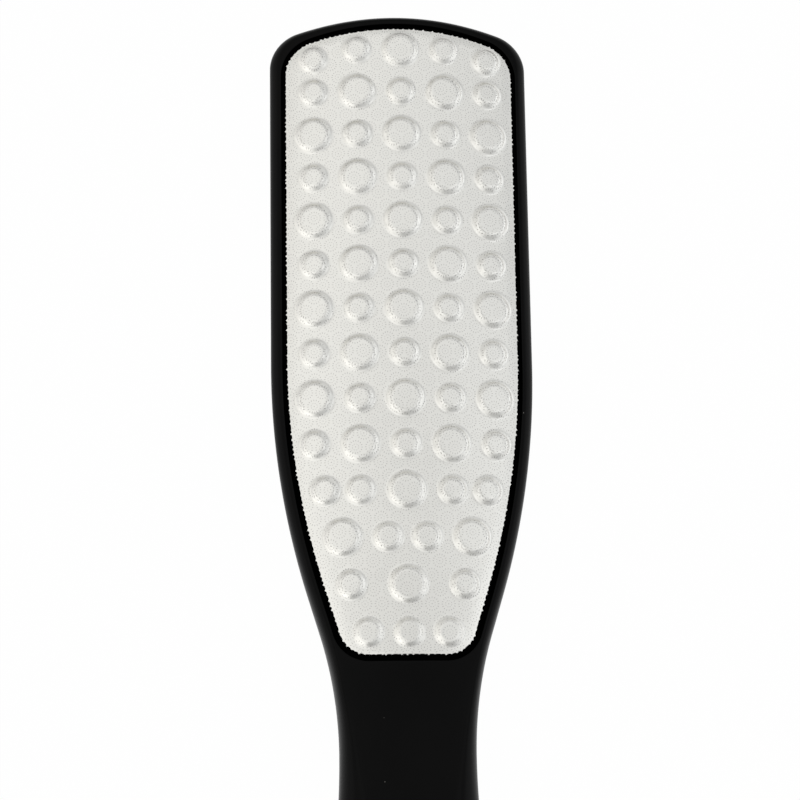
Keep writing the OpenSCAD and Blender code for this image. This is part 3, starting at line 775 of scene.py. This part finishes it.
def lattice(pitch, turn, x, y):
    """Hexagonal lattice of rosette centres that covers a sheet: each row is moved along by
    half a pitch from the last, and the rows are half the root of three pitches apart."""
    m, n = np.meshgrid(np.arange(-LATTICE_COLUMNS, LATTICE_COLUMNS + 1),
                       np.arange(-LATTICE_ROWS, LATTICE_ROWS + 1))
    px, py = (m + n / 2) * pitch, -math.sqrt(3) / 2 * n * pitch
    c, s = math.cos(math.radians(turn)), math.sin(math.radians(turn))
    centres = np.stack([x + px * c - py * s, y + px * s + py * c], -1).reshape(-1, 2)
    level = centres[:, 1]
    wide = flat_half_width(np.clip(level, sheet_foot_y + FOOT_STAY, sheet_tip_y - TIP_STAY)) + pitch / 2
    near = np.abs(centres[:, 0]) < wide
    return centres[near & (level > sheet_foot_y - OVERHANG) & (level < sheet_tip_y + OVERHANG)]


def engraved(centres, unit, height, tall, seed):
    """Rosettes set on the sheet, each turned a little. A mark is left out where any of its
    points would come nearer to the edge than the margin."""
    points, faces, owner = unit
    rng = np.random.default_rng(seed)
    turn = rng.uniform(-TURN_SPREAD, TURN_SPREAD, len(centres))[:, None]
    x = centres[:, :1] + points[None, :, 0] * np.cos(turn) - points[None, :, 1] * np.sin(turn)
    y = centres[:, 1:] + points[None, :, 0] * np.sin(turn) + points[None, :, 1] * np.cos(turn)
    inside = (np.abs(x) < flat_half_width(y) - MARK_MARGIN) & (y > sheet_foot_y + MARK_MARGIN)
    shares = points[None, :, 2]
    cloud = bent(x, y, height(x, y) - MARK_SUNK + shares * (tall + MARK_SUNK)).reshape(-1, 3)
    all_faces = faces[None] + len(points) * np.arange(len(centres))[:, None, None]
    kept = inside.reshape(-1)[all_faces].all(-1)
    whole = np.zeros((len(centres), owner.max() + 1), bool)
    for mark in range(owner.max() + 1):
        whole[:, mark] = kept[:, owner == mark].all(1)
    faces_kept = all_faces[whole[:, owner]]
    used, inverse = np.unique(faces_kept, return_inverse=True)
    return cloud[used], np.zeros((0, 4), int), inverse.reshape(-1, 3)


# One material for the marks of both sheets: a darker tint that paints their shade, and a rougher finish.
etched_and_shaded = new_material("etched_nickel_painted_shade", satin, MARK_SHADE_TINT, ETCHED_ROUGHNESS)
coarse_unit = rosette_marks(TEETH, TOOTH_IN_R, TOOTH_OUT_R, TOOTH_HALF_W,
                            RING_BARS, RING_R, RING_HALF_W, DOT_R)
coarse_centres = lattice(ROSETTE_PITCH, ROSETTE_TURN, ROSETTE_X, ROSETTE_Y)
coarse_rosettes = make_piece(
    "coarse_rosettes", *engraved(coarse_centres, coarse_unit, bump_height, MARK_H, seed=5), etched_and_shaded)
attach(coarse_rosettes, "root")


# Fine sheet and its rosettes. The same nickel without bumps, bent to the crown too, with
# smaller and closer marks for smoothing. It is glued to its pad in the rear pocket.
FINE_LINES = 20
FINE_PITCH, FINE_Y = 1.9, 62.0
FINE_TEETH, FINE_IN_R, FINE_OUT_R, FINE_HALF_W, FINE_DOT_R = 8, 0.42, 0.8, 0.055, 0.13
FINE_H = 0.04


def flat_height(x, y):
    """Height of a sheet without bumps, which only falls in its rolled margin."""
    return -rolled(x, y)


fine_sheet = make_piece("fine_sheet_blank",
                        *turned_over(*sheet_surface(flat_height, FINE_LINES, seed=8)), nickel)
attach(fine_sheet, "root")
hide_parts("fine_sheet")
fine_unit = rosette_marks(FINE_TEETH, FINE_IN_R, FINE_OUT_R, FINE_HALF_W, 0, 0, 0, FINE_DOT_R)
fine_marks = engraved(lattice(FINE_PITCH, 0, 0, FINE_Y), fine_unit, flat_height, FINE_H, seed=6)
fine_rosettes = make_piece("fine_rosettes", *turned_over(*fine_marks), etched_and_shaded)
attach(fine_rosettes, "root")


# Studio. A pale floor under the tool, a soft surround of one panel overhead, two rings of
# panels round it and one more on the right, with a dimmer opening where a camera looks in,
# and the camera. Places here are in metres and angles in degrees.
FLOOR_SIZE = 3.0
PAPER, PAPER_ROUGHNESS = (0.70, 0.70, 0.70, 1), 0.9
WHITE = (1, 1, 1, 1)
WHITE_SHARE = 0.985  # of full white that the floor shows to the camera and in what mirrors it
CAMERA_PLACE = (-0.026517, -0.048301, 0.387853)
CAMERA_TURN = (14.3973, -3.7005, -0.8475)
CAMERA_LENS, SENSOR_W = 89.253, 36.0  # in millimetres
CLIP_NEAR, CLIP_FAR = 0.01, 20.0
# Each group of panels has its height over the floor, the angles from a panel's middle
# between which it fades out, and the level of each panel, counted from +X towards +Y
OVERHEAD = (90.0, 8.0, 44.0, (0.875,))
UPPER_RING = (38.0, 8.0, 44.0, (0.45, 0.35, 0.36, 0.47, 0.49, 0.74, 0.30, 0.42))
LOWER_RING = (8.0, 4.0, 26.0, (0.96, 0.86, 0.54, 0.48, 0.36, 0.60, 0.80, 0.80, 0.95, 0.16, 0.19, 0.66))
RIGHT_PANEL = (54.0, 3.0, 14.0, (0.60,))
OPENING_WAY, OPENING_ANGLES, OPENING_LEVEL = (0.20, -0.08, 0.976), (5.0, 22.0), 0.72
LEFT_TINT, RIGHT_TINT = (1.0, 1.0, 0.98, 1), (0.965, 0.985, 1.0, 1)
TINT_REACH = 0.8  # part across of a direction at which its tint is full


def papery(add):
    """Plain pale paper without a shine."""
    return {"Base Color": PAPER, "Roughness": PAPER_ROUGHNESS, "Specular IOR Level": 0.0}


scene = bpy.context.scene
scene.view_settings.view_transform = "Standard"

half = FLOOR_SIZE / 2
corners = [(-half, -half, 0), (half, -half, 0), (half, half, 0), (-half, half, 0)]
floor_mesh = bpy.data.meshes.new("floor")
floor_mesh.from_pydata(corners, [], [(0, 1, 2, 3)])
floor = bpy.data.objects.new("floor", floor_mesh)
scene.collection.objects.link(floor)
paper = new_material("pale_paper", papery)
add = node_maker(paper)
path = add("ShaderNodeLightPath").outputs
seen = worked_out(add, "MAXIMUM", path["Is Camera Ray"], path["Is Glossy Ray"])
seen = worked_out(add, "MAXIMUM", seen, path["Is Transmission Ray"])
seen = worked_out(add, "MULTIPLY", seen, WHITE_SHARE)
white = add("ShaderNodeEmission", {"Color": WHITE, "Strength": 1.0})
shaded = paper.node_tree.nodes["Principled BSDF"].outputs[0]
blend = add("ShaderNodeMixShader", {0: seen, 1: shaded, 2: white.outputs[0]})
set_inputs(paper.node_tree, paper.node_tree.nodes["Material Output"], {"Surface": blend.outputs[0]})
floor_mesh.materials.append(paper)

world = bpy.data.worlds.new("studio")
world.use_nodes = True
scene.world = world
add = node_maker(world)
way = add("ShaderNodeTexCoord").outputs["Generated"]


def soft_round(direction, inner, outer, middle, outside):
    """Level that goes smoothly from one value in the middle of a round patch of the
    surround to another outside it. The angles are in degrees from the patch's middle."""
    toward = add("ShaderNodeVectorMath", {0: way, 1: direction}, operation="DOT_PRODUCT")
    return add("ShaderNodeMapRange", {
        "Value": toward.outputs["Value"], "From Min": math.cos(math.radians(outer)),
        "From Max": math.cos(math.radians(inner)), "To Min": outside, "To Max": middle},
        interpolation_type="SMOOTHSTEP").outputs[0]


strength = 0.0
for height, inner, outer, levels in (OVERHEAD, UPPER_RING, LOWER_RING, RIGHT_PANEL):
    for k, panel_level in enumerate(levels):
        turn, rise = 2 * math.pi * k / len(levels), math.radians(height)
        direction = (math.cos(rise) * math.cos(turn), math.cos(rise) * math.sin(turn), math.sin(rise))
        panel = soft_round(direction, inner, outer, panel_level, 0.0)
        strength = worked_out(add, "ADD", strength, panel)
opening = soft_round(OPENING_WAY, *OPENING_ANGLES, OPENING_LEVEL, 1.0)
strength = worked_out(add, "MULTIPLY", strength, opening)
across = add("ShaderNodeSeparateXYZ", {"Vector": way}).outputs["X"]
tint = mixed(add, ramp(add, across, -TINT_REACH, TINT_REACH), LEFT_TINT, RIGHT_TINT)
direct = add("ShaderNodeLightPath").outputs["Is Camera Ray"]
soft = add("ShaderNodeBackground", {"Color": tint, "Strength": strength})
plain = add("ShaderNodeBackground", {"Color": WHITE, "Strength": 1.0})
blend = add("ShaderNodeMixShader", {0: direct, 1: soft.outputs[0], 2: plain.outputs[0]})
output = next(node for node in world.node_tree.nodes if node.type == "OUTPUT_WORLD")
set_inputs(world.node_tree, output, {"Surface": blend.outputs[0]})

camera = bpy.data.objects.new("camera", bpy.data.cameras.new("camera"))
scene.collection.objects.link(camera)
camera.location = CAMERA_PLACE
camera.rotation_euler = [math.radians(a) for a in CAMERA_TURN]
camera.data.lens = CAMERA_LENS
camera.data.sensor_width = SENSOR_W
camera.data.clip_start = CLIP_NEAR
camera.data.clip_end = CLIP_FAR
scene.camera = camera
